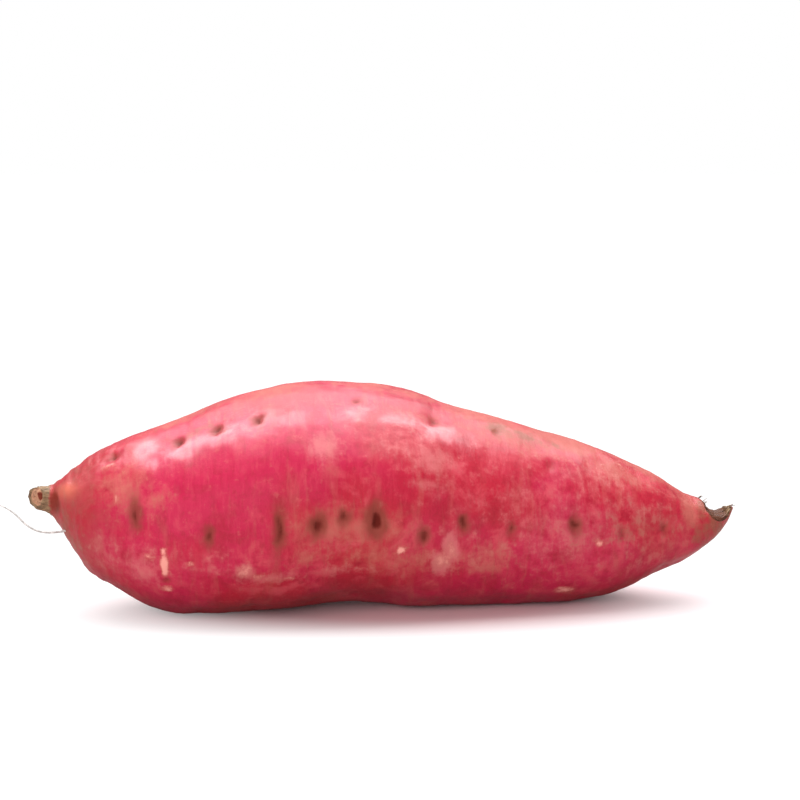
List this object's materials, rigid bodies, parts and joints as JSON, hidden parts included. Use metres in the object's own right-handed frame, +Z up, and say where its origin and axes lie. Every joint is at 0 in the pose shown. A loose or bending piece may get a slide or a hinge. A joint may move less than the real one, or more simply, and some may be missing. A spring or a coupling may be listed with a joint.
{
  "type": "sweet potato",
  "caption": "Whole red-skinned sweet potato lying down: a swollen root that tapers to a cut stem stub and a broken tail, with rows of shallow eyes.",
  "frame": {"origin": "under the middle of the root's box, on the table it rests on", "axes": "+X along the root from the cut stem to the broken tail, -Y out of the side with the main row of eyes, +Z up"},
  "size_m": [0.19, 0.064, 0.0605],
  "materials": {
    "skin": "thin raw root skin, magenta red with a soft waxy sheen, dusty brown scars and dark eyes"
  },
  "bodies": {
    "root": {"sweet_potato": "skin"}
  },
  "joints": []
}
